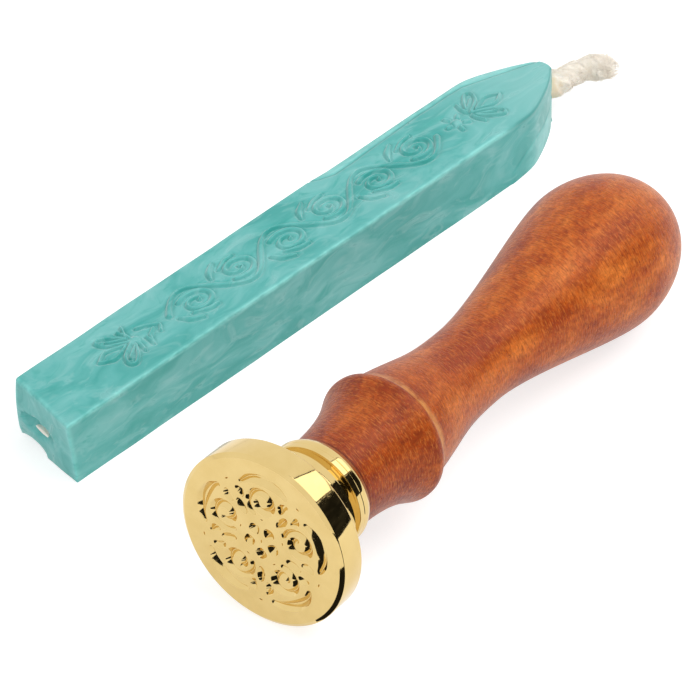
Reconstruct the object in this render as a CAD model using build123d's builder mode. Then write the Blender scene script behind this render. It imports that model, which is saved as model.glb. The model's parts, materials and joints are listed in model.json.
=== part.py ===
from build123d import *

# Wax seal set, laid out on a table: a desk seal on its side, and a stick of sealing wax beside it.
# The seal is a turned brass head that screws onto a stud in a turned wooden handle.
# The stick is cast around a cotton wick, which sticks out of its pointed end.
#
# Millimetres. +X runs along the wax stick from its butt to its tip, +Z is up and the table is Z = 0.
# The origin is the middle of the whole set's footprint.

import os
from math import atan2, cos, degrees, pi, radians, sin, sqrt, tan

os.makedirs("parts", exist_ok=True)

# ---------------------------------------------------------------- driving dimensions: the seal
# Stations run along the seal's axis, from the engraved face towards the handle's end.
RIM_RADIUS = 12.5
RIM_LENGTH = 4.1
FACE_CHAMFER = 0.45
RIM_BACK_ROUND = 0.35
COVE_TOP_RADIUS = 8.2           # where the rim's back face runs into the cove
COVE_RADIUS = 5.7               # the thinnest place of the cove behind the rim
COVE_STATION = 7.0
COLLAR_STATION = 10.4           # the sharp ridge where the cove meets the collar
COLLAR_RIDGE_RADIUS = 7.5
COLLAR_LIP_RADIUS = 7.4
COLLAR_END = 13.5
COLLAR_LIP_ROUND = 0.5

SOCKET_DEPTH = 1.9              # the collar is a shallow cup around the handle's foot
SOCKET_CLEARANCE = 0.1
SEAT_GAP = 0.03                 # between the cup's floor and the handle's foot

FOOT_RADIUS = 6.7
SHOULDER_STATION, SHOULDER_RADIUS = 25.9, 9.23
CREASE_STATION, CREASE_RADIUS = 27.55, 8.33
NECK_STATION, NECK_RADIUS = 45.4, 5.88
BULB_STATION, BULB_RADIUS = 74.6, 10.62
HANDLE_END = 88.0
CREASE_SLOPE_BEFORE = 0.80      # how steeply the radius falls on either side of the crease
CREASE_SLOPE_AFTER = 0.16
# How full each stretch of the turned profile is: the share of its length that it keeps
# going in its first direction, at its beginning and at its end.
FLARE_FULLNESS = (0.74, 0.08)
SHOULDER_FULLNESS = (0.58, 0.55)
NECK_FULLNESS = (0.50, 0.51)
GRIP_FULLNESS = (0.28, 0.19)
DOME_FULLNESS = (0.43, 0.69)

STUD_RADIUS = 3.0
STUD_IN_HEAD = 8.0
STUD_IN_HANDLE = 14.0
STUD_POINT = 3.0
STUD_CHAMFER = 0.6
STUD_CLEARANCE = 0.05
HOLE_RUNOUT = 0.5               # each blind hole is this much deeper than the stud reaches
THREAD_PITCH = 1.0

# ---------------------------------------------------------------- driving dimensions: the wax stick
BUTT_WIDTH = 12.05
SHOULDER_WIDTH = 12.6           # where the pointed end begins
BUTT_HEIGHT = 10.1
TIP_HEIGHT = 9.35               # at the end of the straight sides
SIDE_LENGTH = 88.0              # the straight sides
POINT_ARC_RADIUS = 18.7
DRAFT = 0.1                     # the foot of each side stands out by this much
BUTT_SKEW = 13.0                # degrees: the butt isn't cut square across
BUTT_LEAN = 6.5                 # degrees: nor is it cut upright
POINT_NOSE_ROUND = 0.9
LONG_EDGE_ROUND = 0.3

WORN_EDGE_START = 57.0          # the left top edge is sloped off from here to the point
WORN_EDGE_FULL = 69.0
WORN_EDGE_WIDTH = 2.0
WORN_EDGE_DROP = 0.35

WICK_RADIUS = 1.15
WICK_HEIGHT = 4.8
WICK_RECESS = 1.7               # how far the wick's inner end lies inside the butt
# The free end of the wick, as steps from where it leaves the point.
WICK_STUB_STEPS = ((2.0, 0.0, 0.0), (3.6, -1.1, 0.5), (3.7, -2.1, 0.1))

POCKET_WIDTH, POCKET_HEIGHT = 7.4, 3.1
POCKET_DEPTH = 2.0
POCKET_TAPER = 24.0
POCKET_OFFSET = 1.5
POCKET_SLANT = 22.0
NOTCH_WIDTH, NOTCH_HEIGHT = 5.6, 1.0
NOTCH_DEPTH = 4.0
NOTCH_TAPER = 6.0
NOTCH_OFFSET = 2.7

# ---------------------------------------------------------------- driving dimensions: the layout
SEAL_FACE_X, SEAL_FACE_Y = -4.55, -41.95    # the engraved face, seen from the stick's butt
SEAL_YAW = 5.67                             # degrees that the seal is turned from the stick

# ---------------------------------------------------------------- where things lie
# The seal lies on its rim's back edge and on its bulb, so its axis tips down a little.
rim_contact = RIM_LENGTH - RIM_BACK_ROUND
seal_tilt = atan2(RIM_RADIUS - BULB_RADIUS, BULB_STATION - rim_contact)
seal_yaw = radians(SEAL_YAW)
seal_dir = Vector(cos(seal_yaw) * cos(seal_tilt), sin(seal_yaw) * cos(seal_tilt), -sin(seal_tilt))
seal_height = RIM_RADIUS * cos(seal_tilt) + rim_contact * sin(seal_tilt)
seal_plane = Plane(
    origin=(SEAL_FACE_X, SEAL_FACE_Y, seal_height),
    x_dir=seal_dir,
    z_dir=(sin(seal_yaw), -cos(seal_yaw), 0),
)
seal_axis = Axis(seal_plane.origin, seal_dir)
socket_floor = COLLAR_END - SOCKET_DEPTH
foot_station = socket_floor + SEAT_GAP

# ---------------------------------------------------------------- the seal's brass head
# One turned piece: the engraved disc, a cove, and a flared collar around the handle's foot.
socket_radius = FOOT_RADIUS + SOCKET_CLEARANCE
stud_hole_radius = STUD_RADIUS + STUD_CLEARANCE
stud_hole_floor = socket_floor - STUD_IN_HEAD - HOLE_RUNOUT

with BuildPart() as seal_head:
    with BuildSketch(seal_plane):
        with BuildLine():
            Polyline(
                (0, 0),
                (0, RIM_RADIUS - FACE_CHAMFER),
                (FACE_CHAMFER, RIM_RADIUS),
                (RIM_LENGTH - RIM_BACK_ROUND, RIM_RADIUS),
            )
            RadiusArc(
                (RIM_LENGTH - RIM_BACK_ROUND, RIM_RADIUS),
                (RIM_LENGTH, RIM_RADIUS - RIM_BACK_ROUND),
                RIM_BACK_ROUND,
            )
            Line((RIM_LENGTH, RIM_RADIUS - RIM_BACK_ROUND), (RIM_LENGTH, COVE_TOP_RADIUS))
            ThreePointArc(
                (RIM_LENGTH, COVE_TOP_RADIUS),
                (COVE_STATION, COVE_RADIUS),
                (COLLAR_STATION, COLLAR_RIDGE_RADIUS),
            )
            Line(
                (COLLAR_STATION, COLLAR_RIDGE_RADIUS),
                (COLLAR_END - COLLAR_LIP_ROUND, COLLAR_LIP_RADIUS),
            )
            RadiusArc(
                (COLLAR_END - COLLAR_LIP_ROUND, COLLAR_LIP_RADIUS),
                (COLLAR_END, COLLAR_LIP_RADIUS - COLLAR_LIP_ROUND),
                COLLAR_LIP_ROUND,
            )
            Polyline(
                (COLLAR_END, COLLAR_LIP_RADIUS - COLLAR_LIP_ROUND),
                (COLLAR_END, socket_radius),
                (socket_floor, socket_radius),
                (socket_floor, stud_hole_radius),
                (stud_hole_floor, stud_hole_radius),
                (stud_hole_floor, 0),
                (0, 0),
            )
        make_face()
    revolve(axis=seal_axis)

# ---------------------------------------------------------------- the stud
# A plain rod stands for both threads. The wood end runs out to a point.
stud_start = socket_floor - STUD_IN_HEAD
stud_end = foot_station + STUD_IN_HANDLE

with BuildPart() as threaded_stud:
    with BuildSketch(seal_plane):
        with BuildLine():
            Polyline(
                (stud_start, 0),
                (stud_start, STUD_RADIUS - STUD_CHAMFER),
                (stud_start + STUD_CHAMFER, STUD_RADIUS),
                (stud_end - STUD_POINT, STUD_RADIUS),
                (stud_end, 0),
                (stud_start, 0),
            )
        make_face()
    revolve(axis=seal_axis)

# ---------------------------------------------------------------- the turned handle
def stretch(start, end, start_slope, end_slope, fullness):
    """One smooth stretch of the turned profile between two stations, each with its slope."""
    reach = end[0] - start[0]
    leave, arrive = fullness[0] * reach, fullness[1] * reach
    return Bezier(
        start,
        (start[0] + leave, start[1] + start_slope * leave),
        (end[0] - arrive, end[1] - end_slope * arrive),
        end,
    )


foot = (foot_station, FOOT_RADIUS)
collar_exit = (COLLAR_END, FOOT_RADIUS)
shoulder = (SHOULDER_STATION, SHOULDER_RADIUS)
crease = (CREASE_STATION, CREASE_RADIUS)
neck = (NECK_STATION, NECK_RADIUS)
bulb = (BULB_STATION, BULB_RADIUS)
handle_hole_end = stud_end + HOLE_RUNOUT

with BuildPart() as handle:
    with BuildSketch(seal_plane):
        with BuildLine():
            Line(foot, collar_exit)
            stretch(collar_exit, shoulder, 0, 0, FLARE_FULLNESS)
            stretch(shoulder, crease, 0, -CREASE_SLOPE_BEFORE, SHOULDER_FULLNESS)
            stretch(crease, neck, -CREASE_SLOPE_AFTER, 0, NECK_FULLNESS)
            stretch(neck, bulb, 0, 0, GRIP_FULLNESS)
            Bezier(
                bulb,
                (BULB_STATION + DOME_FULLNESS[0] * (HANDLE_END - BULB_STATION), BULB_RADIUS),
                (HANDLE_END, DOME_FULLNESS[1] * BULB_RADIUS),
                (HANDLE_END, 0),
            )
            Polyline(
                (HANDLE_END, 0),
                (handle_hole_end, 0),
                (handle_hole_end - STUD_POINT, stud_hole_radius),
                (foot_station, stud_hole_radius),
                foot,
            )
        make_face()
    revolve(axis=seal_axis)

# ---------------------------------------------------------------- the wax stick
# Its sides spread a little from the butt to the point, and run straight into the point's arcs.
side_angle = atan2((SHOULDER_WIDTH - BUTT_WIDTH) / 2, SIDE_LENGTH)
arc_centre_x = SIDE_LENGTH + POINT_ARC_RADIUS * sin(side_angle)
arc_centre_y = POINT_ARC_RADIUS * cos(side_angle) - SHOULDER_WIDTH / 2
stick_length = arc_centre_x + sqrt(POINT_ARC_RADIUS**2 - arc_centre_y**2)
height_slope = (BUTT_HEIGHT - TIP_HEIGHT) / SIDE_LENGTH
butt_margin = BUTT_WIDTH            # the blank runs on past the butt, and is then cut back


def stick_outline(spread):
    """The stick seen from above: straight sides and a pointed arch, grown by spread all round."""
    arc_radius = POINT_ARC_RADIUS + spread
    shoulder_x = arc_centre_x - arc_radius * sin(side_angle)
    half = arc_radius * cos(side_angle) - arc_centre_y
    butt_half = half - (shoulder_x + butt_margin) * tan(side_angle)
    tip = arc_centre_x + sqrt(arc_radius**2 - arc_centre_y**2)
    Line((-butt_margin, -butt_half), (shoulder_x, -half))
    RadiusArc((shoulder_x, -half), (tip, 0), -arc_radius)
    RadiusArc((tip, 0), (shoulder_x, half), -arc_radius)
    Polyline((shoulder_x, half), (-butt_margin, butt_half), (-butt_margin, -butt_half))


top_plane = Plane(origin=(0, 0, BUTT_HEIGHT), x_dir=(1, 0, -height_slope), z_dir=(height_slope, 0, 1))
skew, lean = radians(BUTT_SKEW), radians(BUTT_LEAN)
butt_plane = Plane(
    origin=(0, 0, BUTT_HEIGHT),
    x_dir=(-sin(skew), -cos(skew), 0),
    z_dir=(-cos(skew), sin(skew), -cos(skew) * tan(lean)),
)


def worn_edge_corners(station, width):
    """The corner that is worn off the stick's left top edge, as a triangle at one station."""
    outside = SHOULDER_WIDTH / 2
    top = BUTT_HEIGHT - height_slope * station
    fall = WORN_EDGE_DROP / WORN_EDGE_WIDTH
    return (
        (outside - width, top),
        (outside + WORN_EDGE_WIDTH, top - fall * (width + WORN_EDGE_WIDTH)),
        (outside + WORN_EDGE_WIDTH, top + WORN_EDGE_WIDTH),
    )


with BuildPart() as worn_edge:
    for station, width in (
        (WORN_EDGE_START, -WORN_EDGE_WIDTH / 2),
        (WORN_EDGE_FULL, WORN_EDGE_WIDTH),
        (stick_length + butt_margin, WORN_EDGE_WIDTH),
    ):
        with BuildSketch(Plane.YZ.offset(station)):
            with BuildLine():
                Polyline(*worn_edge_corners(station, width), close=True)
            make_face()
    loft(ruled=True)

# The wick's bore runs the whole length. Its mouth has sunk into a slanted pocket in the butt,
# and an arch has chipped out of the butt's lower edge.
wick_from_top = WICK_HEIGHT - BUTT_HEIGHT
butt_foot = -BUTT_HEIGHT / cos(lean)
lower_notch_centre = (-NOTCH_OFFSET, butt_foot)

with BuildPart() as wax_stick:
    with BuildSketch(Plane.XY):
        with BuildLine():
            stick_outline(DRAFT)
        make_face()
    extrude(
        amount=BUTT_HEIGHT + height_slope * butt_margin,
        taper=degrees(atan2(DRAFT, BUTT_HEIGHT)),
    )
    split(bisect_by=top_plane, keep=Keep.BOTTOM)
    split(bisect_by=butt_plane, keep=Keep.BOTTOM)
    nose = wax_stick.edges().filter_by(lambda edge: edge.center().X > stick_length - 2 * DRAFT)
    fillet(nose, POINT_NOSE_ROUND)
    top_edges = wax_stick.faces().sort_by(Axis.Z)[-1].edges()
    fillet(top_edges, LONG_EDGE_ROUND)
    add(worn_edge.part, mode=Mode.SUBTRACT)
    with BuildSketch(butt_plane):
        with Locations((-POCKET_OFFSET, wick_from_top / cos(lean))):
            SlotOverall(POCKET_WIDTH, POCKET_HEIGHT, rotation=-POCKET_SLANT)
    extrude(amount=-POCKET_DEPTH, taper=POCKET_TAPER, mode=Mode.SUBTRACT)
    with BuildSketch(butt_plane):
        with Locations(lower_notch_centre):
            Ellipse(NOTCH_WIDTH / 2, NOTCH_HEIGHT)
    extrude(amount=-NOTCH_DEPTH, taper=NOTCH_TAPER, mode=Mode.SUBTRACT)
    with BuildSketch(Plane.YZ):
        with Locations((0, WICK_HEIGHT)):
            Circle(WICK_RADIUS)
    extrude(amount=stick_length + butt_margin, mode=Mode.SUBTRACT)

# ---------------------------------------------------------------- the wick
# It lies straight in its bore and bends a little where it is free.
wick_points = [Vector(WICK_RECESS, 0, WICK_HEIGHT), Vector(stick_length, 0, WICK_HEIGHT)]
for step in WICK_STUB_STEPS:
    wick_points.append(wick_points[-1] + Vector(*step))
del wick_points[1]              # the bore and the first free run are in one line

wick_radii = []
for before, corner, after in zip(wick_points, wick_points[1:], wick_points[2:]):
    turn = (corner - before).get_angle(after - corner)
    shorter = min((corner - before).length, (after - corner).length)
    wick_radii.append(0.45 * shorter / tan(radians(turn / 2)))

with BuildPart() as wick:
    with BuildLine() as wick_route:
        FilletPolyline(*wick_points, radius=wick_radii)
    with BuildSketch(Plane(origin=wick_points[0], x_dir=(0, 1, 0), z_dir=(1, 0, 0))):
        Circle(WICK_RADIUS)
    sweep()

wick_length = wick_route.wires()[0].length
wick_section = pi * WICK_RADIUS**2
print("turns to unscrew the head", STUD_IN_HEAD / THREAD_PITCH)
print("wick radii", [round(radius, 1) for radius in wick_radii], "length", round(wick_length, 2))
print("wick volume", round(wick.part.volume, 2), "against", round(wick_section * wick_length, 2))

# ---------------------------------------------------------------- the whole set, centred
pieces = (seal_head, threaded_stud, handle, wax_stick, wick)
footprint = Compound([piece.part for piece in pieces]).bounding_box()
centring = Location((-footprint.center().X, -footprint.center().Y, 0))
for piece in pieces:
    piece.part.locate(centring)

seal_head.part.label = "seal_head"
threaded_stud.part.label = "threaded_stud"
handle.part.label = "handle"
wax_stick.part.label = "wax_stick"
wick.part.label = "wick"
export_step(seal_head.part, "parts/seal_head.step")
export_step(threaded_stud.part, "parts/threaded_stud.step")
export_step(handle.part, "parts/handle.step")
export_step(wax_stick.part, "parts/wax_stick.step")
export_step(wick.part, "parts/wick.step")

# Places that a user of the part needs, in the centred frame.
face_centre = seal_plane.origin + centring.position
base_middle = Vector(SIDE_LENGTH / 2, 0, 0) + centring.position
print("centring", centring.position)
print("seal axis", seal_dir, "engraved face at", face_centre)
print("wax stick's base at", base_middle)
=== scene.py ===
import json
import math
import random

import bmesh
import bpy
from mathutils import Matrix, Vector, kdtree, noise


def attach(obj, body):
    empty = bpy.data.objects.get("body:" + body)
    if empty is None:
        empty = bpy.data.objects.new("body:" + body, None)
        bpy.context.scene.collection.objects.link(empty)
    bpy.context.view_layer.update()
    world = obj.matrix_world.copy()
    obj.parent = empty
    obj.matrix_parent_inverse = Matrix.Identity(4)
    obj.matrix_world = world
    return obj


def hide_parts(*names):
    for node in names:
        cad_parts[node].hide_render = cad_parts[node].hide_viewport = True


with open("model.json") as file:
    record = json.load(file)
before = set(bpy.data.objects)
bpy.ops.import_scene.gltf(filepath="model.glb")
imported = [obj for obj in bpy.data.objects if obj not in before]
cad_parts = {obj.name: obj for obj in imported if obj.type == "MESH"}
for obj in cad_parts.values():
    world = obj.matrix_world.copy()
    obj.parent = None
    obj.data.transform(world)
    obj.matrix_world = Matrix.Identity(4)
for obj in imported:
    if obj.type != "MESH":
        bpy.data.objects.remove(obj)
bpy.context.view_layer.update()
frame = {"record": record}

# Wax seal set: a desk seal with a turned wooden handle and a gold-plated brass head, lying on its
# side, and a pointed stick of pearly sealing wax with a cotton wick.
# Sizes are in millimetres and are multiplied by MM where Blender needs metres.
MM = 0.001
random.seed(7)

mounts = {mount["name"]: mount for mount in frame["record"]["mounts"]}

# ---- where the pieces lie
face_centre = Vector(mounts["seal_face"]["pos_m"])
seal_axis = -Vector(mounts["seal_face"]["axis"]).normalized()       # from the face to the handle
seal_side = seal_axis.cross(Vector((0, 0, 1))).normalized()
seal_up = seal_side.cross(seal_axis).normalized()
# Local X is the station along the seal, local Y points up and local Z sideways.
seal_frame = Matrix.Translation(face_centre) @ Matrix((seal_axis, seal_up, seal_side)).transposed().to_4x4()

SIDE_LENGTH = 88.0
stick_origin = Vector(mounts["wax_stick_base"]["pos_m"]) - Vector((SIDE_LENGTH / 2 * MM, 0, 0))

# ---- camera
CAMERA_PLACE = (-481.422, -402.645, 489.820)
CAMERA_TARGET = (-9.181, 9.719, 0.0)
CAMERA_LENS = 308.571

scene = bpy.context.scene
camera = bpy.data.objects.new("camera", bpy.data.cameras.new("camera"))
scene.collection.objects.link(camera)
camera.location = Vector(CAMERA_PLACE) * MM
camera.rotation_euler = (Vector(CAMERA_TARGET) - Vector(CAMERA_PLACE)).to_track_quat("-Z", "Y").to_euler()
camera.data.lens = CAMERA_LENS
camera.data.sensor_width = 36
camera.data.clip_start = 0.01
camera.data.clip_end = 20
scene.camera = camera
scene.view_settings.view_transform = "Standard"


# ---- modelling helpers
def pick(obj):
    """Select only this object and make it active."""
    bpy.ops.object.select_all(action="DESELECT")
    obj.select_set(True)
    bpy.context.view_layer.objects.active = obj


def smooth_below(obj, degrees):
    pick(obj)
    bpy.ops.object.shade_smooth_by_angle(angle=math.radians(degrees))


def start_editing(name):
    """Name the primitive that was just added, put its place into its mesh, and open it in edit mode."""
    piece = bpy.context.object
    piece.name = piece.data.name = name
    bpy.ops.object.transform_apply(location=True, rotation=True, scale=True)
    bpy.ops.object.mode_set(mode="EDIT")
    return piece


def opened_mesh(obj):
    """The mesh of an object in edit mode, with nothing in it selected."""
    mesh = bmesh.from_edit_mesh(obj.data)
    for element in (*mesh.verts, *mesh.edges, *mesh.faces):
        element.select = False
    return mesh


def join_rings(mesh, rings):
    """Skin a row of vertex rings into one closed tube."""
    for ring, following in zip(rings, rings[1:]):
        for i in range(len(ring)):
            j = (i + 1) % len(ring)
            mesh.faces.new((ring[i], ring[j], following[j], following[i]))
    mesh.faces.new(list(reversed(rings[0])))
    mesh.faces.new(rings[-1])


def new_piece(name, mesh):
    """Turn a finished mesh into an object of the scene, with its faces turned outward."""
    bmesh.ops.recalc_face_normals(mesh, faces=mesh.faces)
    data = bpy.data.meshes.new(name)
    mesh.to_mesh(data)
    mesh.free()
    piece = bpy.data.objects.new(name, data)
    scene.collection.objects.link(piece)
    return piece


def dress(obj, material, slot, body, *nodes):
    """Give a finished piece its material, and let it ride in place of its nodes; the slot is not used."""
    obj.data.materials.clear()
    obj.data.materials.append(material)
    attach(obj, body)
    if nodes:
        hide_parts(*nodes)


def clamp(value):
    """Hold a value between 0 and 1."""
    return max(0.0, min(1.0, value))


def smooth_line(knots, count_between):
    """Catmull-Rom line through the knots, with count_between(here, after) points from each to the next."""
    head = [tuple(2 * a - b for a, b in zip(knots[0], knots[1]))]
    tail = [tuple(2 * a - b for a, b in zip(knots[-1], knots[-2]))]
    full = head + list(knots) + tail
    line = [knots[0]]
    for p0, p1, p2, p3 in zip(full, full[1:], full[2:], full[3:]):
        count = count_between(p1, p2)
        for step in range(1, count + 1):
            t = step / count
            line.append(tuple(
                0.5 * (2 * b + (c - a) * t + (2 * a - 5 * b + 4 * c - d) * t * t + (3 * b - a - 3 * c + d) * t**3)
                for a, b, c, d in zip(p0, p1, p2, p3)
            ))
    return line


def spread_line(points, spacing):
    """A smooth line through the points, in steps of about one spacing."""
    return smooth_line(points, lambda here, after: max(2, round(math.dist(here[:2], after[:2]) / spacing)))


def bezier(start, leave, arrive, end, steps):
    """The points of one cubic Bezier curve, without its first point."""
    points = []
    for step in range(1, steps + 1):
        t = step / steps
        weights = ((1 - t) ** 3, 3 * t * (1 - t) ** 2, 3 * t * t * (1 - t), t**3)
        points.append(tuple(
            sum(w * p[axis] for w, p in zip(weights, (start, leave, arrive, end))) for axis in range(2)
        ))
    return points


def stretch(start, end, start_slope, end_slope, fullness, steps=18):
    """One smooth stretch of a turned profile between two stations, each with its slope."""
    reach = end[0] - start[0]
    leave, arrive = fullness[0] * reach, fullness[1] * reach
    return bezier(
        start,
        (start[0] + leave, start[1] + start_slope * leave),
        (end[0] - arrive, end[1] - end_slope * arrive),
        end,
        steps,
    )


def rounded(corners, steps=4):
    """An outline from (station, radius, corner round) triples, with each corner turned into a small arc."""
    outline = []
    for index, (x, y, round_by) in enumerate(corners):
        here = Vector((x, y))
        if not round_by:
            outline.append((x, y))
            continue
        back = (Vector(corners[index - 1][:2]) - here).normalized()
        on = (Vector(corners[index + 1][:2]) - here).normalized()
        half = back.angle(on) / 2
        reach = round_by / math.tan(half)
        centre = here + (back + on).normalized() * round_by / math.sin(half)
        first, last = here + back * reach - centre, here + on * reach - centre
        sweep = first.angle_signed(last)
        for step in range(steps + 1):
            turned = Matrix.Rotation(-sweep * step / steps, 2) @ first
            outline.append(tuple(centre + turned))
    return outline


TURNING_STEPS = 192


def turn_on_lathe(name, outline):
    """Draw an outline of (station, radius) points beside the seal's axis and spin it all the way round."""
    def place(point):
        return seal_frame @ Vector((point[0] * MM, point[1] * MM, 0))

    bpy.ops.mesh.primitive_plane_add(size=MM, location=place(outline[0]))
    piece = start_editing(name)
    bpy.ops.mesh.select_mode(type="VERT")
    bpy.ops.mesh.select_all(action="SELECT")
    bpy.ops.mesh.merge(type="CENTER")
    for before, after in zip(outline, outline[1:]):
        bpy.ops.mesh.extrude_region_move(TRANSFORM_OT_translate={"value": place(after) - place(before)})
    bpy.ops.mesh.select_all(action="SELECT")
    bpy.ops.mesh.spin(steps=TURNING_STEPS, angle=2 * math.pi, center=face_centre, axis=seal_axis)
    bpy.ops.mesh.select_all(action="SELECT")
    bpy.ops.mesh.remove_doubles(threshold=1e-6)
    bpy.ops.mesh.normals_make_consistent(inside=False)
    bpy.ops.object.mode_set(mode="OBJECT")
    return piece


# ---- material helpers
def node_material(name):
    material = bpy.data.materials.new(name)
    material.use_nodes = True
    tree = material.node_tree
    return material, tree, tree.nodes["Principled BSDF"]


def wire(node, socket, value):
    """Link an input socket to another node's output, or set its value."""
    if isinstance(value, bpy.types.NodeSocket):
        node.id_data.links.new(value, node.inputs[socket])
    else:
        node.inputs[socket].default_value = value


def wire_all(node, **sockets):
    """Link or set input sockets by name, with underscores for the spaces in it."""
    for name, value in sockets.items():
        wire(node, name.replace("_", " "), value)


def add_node(beside, kind, settings=None, **sockets):
    """Add a node to a tree, or to the tree of a socket, with its properties and its input sockets."""
    tree = beside if isinstance(beside, bpy.types.NodeTree) else beside.id_data
    node = tree.nodes.new(kind)
    for key, value in (settings or {}).items():
        setattr(node, key, value)
    wire_all(node, **sockets)
    return node


def ramp(factor, *stops):
    """A colour ramp through (position, colour) stops; a plain number stands for a grey."""
    node = add_node(factor, "ShaderNodeValToRGB", Fac=factor)
    elements = node.color_ramp.elements
    while len(elements) < len(stops):
        elements.new(0.5)
    for element, (position, colour) in zip(elements, stops):
        element.position = position
        element.color = (*colour, 1) if isinstance(colour, tuple) else (colour, colour, colour, 1)
    return node.outputs["Color"]


def blend(factor, first, second, mode="MIX"):
    """Lay a second colour over a first one, which is a socket."""
    node = add_node(first, "ShaderNodeMix", {"data_type": "RGBA", "blend_type": mode})
    for socket, value in ((0, factor), (6, first), (7, second)):
        wire(node, socket, (*value, 1) if isinstance(value, tuple) else value)
    return node.outputs[2]


def calculate(operation, first, second=0.0):
    """Reckon with two values, the first of which is a socket."""
    node = add_node(first, "ShaderNodeMath", {"operation": operation})
    wire(node, 0, first)
    wire(node, 1, second)
    return node.outputs[0]


def away_from(value, middle):
    """How far a value lies from a middle one, to either side."""
    return calculate("ABSOLUTE", calculate("SUBTRACT", value, middle))


def part_of(vector, axis):
    return add_node(vector, "ShaderNodeSeparateXYZ", Vector=vector).outputs[axis]


def shader_coordinates(tree, kind):
    return add_node(tree, "ShaderNodeTexCoord").outputs[kind]


def piece_coordinates(tree, matrix):
    """Object coordinates in millimetres of a piece's own frame."""
    location, rotation, _ = matrix.inverted().decompose()
    node = add_node(tree, "ShaderNodeMapping", Vector=shader_coordinates(tree, "Object"),
                    Location=location / MM, Rotation=rotation.to_euler(), Scale=(1 / MM,) * 3)
    return node.outputs["Vector"]


def stretched(vector, scale):
    return add_node(vector, "ShaderNodeMapping", Vector=vector, Scale=scale).outputs["Vector"]


def noise_at(vector, scale, detail=2.0, roughness=0.5, distortion=0.0, output="Fac"):
    node = add_node(vector, "ShaderNodeTexNoise", Vector=vector, Scale=scale, Detail=detail,
                    Roughness=roughness, Distortion=distortion)
    return node.outputs[output]


def bump(height, distance):
    """The normal of a surface that a height of 1 lifts by a distance in millimetres."""
    return add_node(height, "ShaderNodeBump", Height=height, Distance=distance * MM).outputs["Normal"]


stick_frame = Matrix.Translation(stick_origin)


def gilt_brass():
    """Polished brass under bright gold plating, with faint wiping marks."""
    material, tree, shader = node_material("gilt_brass")
    place = piece_coordinates(tree, seal_frame)
    cloud = noise_at(place, 0.35, 3)
    smears = noise_at(stretched(place, (0.3, 1.4, 1.4)), 1.5, 4)
    wire_all(
        shader, Metallic=1.0,
        Base_Color=ramp(cloud, (0.35, (0.73, 0.535, 0.215)), (0.65, (0.77, 0.575, 0.245))),
        Roughness=ramp(smears, (0.4, 0.045), (0.75, 0.10)),
        Normal=bump(noise_at(place, 0.5, 1), 0.012),
    )
    return material


def bare_steel():
    material, tree, shader = node_material("bare_steel")
    scratches = noise_at(stretched(piece_coordinates(tree, seal_frame), (6, 1, 1)), 1.2, 4)
    wire_all(
        shader, Metallic=1.0,
        Base_Color=ramp(scratches, (0.3, (0.42, 0.41, 0.39)), (0.7, (0.60, 0.59, 0.56))),
        Roughness=ramp(scratches, (0.3, 0.22), (0.7, 0.42)),
        Normal=bump(scratches, 0.01),
    )
    return material


# Stations along the seal, from its face: the collar's end, the handle's crease and the handle's end.
COLLAR_END = 13.5
CREASE_STATION = 27.55
HANDLE_END = 88.0


def varnished_wood():
    """Close-grained wood, stained red-brown and varnished over the fine rings left by sanding on a lathe."""
    material, tree, shader = node_material("varnished_wood")
    place = piece_coordinates(tree, seal_frame)
    station = part_of(place, "X")
    patches = noise_at(stretched(place, (0.5, 1, 1)), 0.21, 4, 0.66)
    colour = ramp(
        patches, (0.36, (0.33, 0.044, 0.005)), (0.50, (0.50, 0.096, 0.009)), (0.64, (0.67, 0.172, 0.024)))
    # Darker towards the shoulder and lighter towards the bulb.
    along = ramp(
        calculate("DIVIDE", station, HANDLE_END),
        (0.18, (0.78, 0.62, 0.62)), (0.28, (0.88, 0.80, 0.82)),
        (0.42, (1.0, 0.98, 1.0)), (0.80, (1.08, 1.14, 1.2)),
    )
    mottle = noise_at(place, 1.5, 5, 0.7)
    for tone in (along, ramp(mottle, (0.36, 0.68), (0.62, 1.05))):
        colour = blend(1.0, colour, tone, "MULTIPLY")
    # Short streaks run round the handle: fine along the axis, long across it.
    rings = noise_at(stretched(place, (5.2, 0.85, 0.85)), 1.0, 2, 0.6, 0.3)
    pale = noise_at(stretched(place, (4.4, 0.8, 0.8)), 1.35, 2, 0.6, 0.4)
    flecks = noise_at(stretched(place, (2.4, 1.0, 1.0)), 1.9, 2, 0.5, 1.2)
    # The stain has rubbed thin along the crease. Next to the collar the wood is darkened: painted shade in the
    # joint.
    wander = calculate("MULTIPLY", calculate("SUBTRACT", noise_at(place, 0.9, 2), 0.5), 0.9)
    off_crease = away_from(calculate("ADD", station, wander), CREASE_STATION)
    worn = ramp(noise_at(place, 0.8, 3), (0.38, 0.40), (0.58, 1.0))
    rubbed = calculate("MULTIPLY", ramp(off_crease, (0.20, 0.80), (1.0, 0.0)), worn)
    off_collar = calculate("SUBTRACT", station, COLLAR_END)
    for where, tint in (
        (ramp(rings, (0.50, 0.0), (0.66, 0.60)), (0.25, 0.036, 0.004)),
        (ramp(pale, (0.50, 0.0), (0.70, 0.50)), (0.72, 0.22, 0.040)),
        (ramp(flecks, (0.62, 0.0), (0.71, 0.65)), (0.15, 0.020, 0.003)),
        (rubbed, (0.70, 0.29, 0.075)),
        # painted shade in the joint against the collar
        (ramp(off_collar, (0.15, 0.85), (0.65, 0.0)), (0.075, 0.012, 0.004)),
    ):
        colour = blend(where, colour, tint)
    relief = calculate("ADD", rings, calculate("MULTIPLY", mottle, 0.8))
    wire_all(
        shader, Base_Color=colour, Roughness=ramp(mottle, (0.3, 0.38), (0.7, 0.26)),
        Specular_IOR_Level=0.23, Normal=bump(relief, 0.07),
    )
    return material


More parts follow.
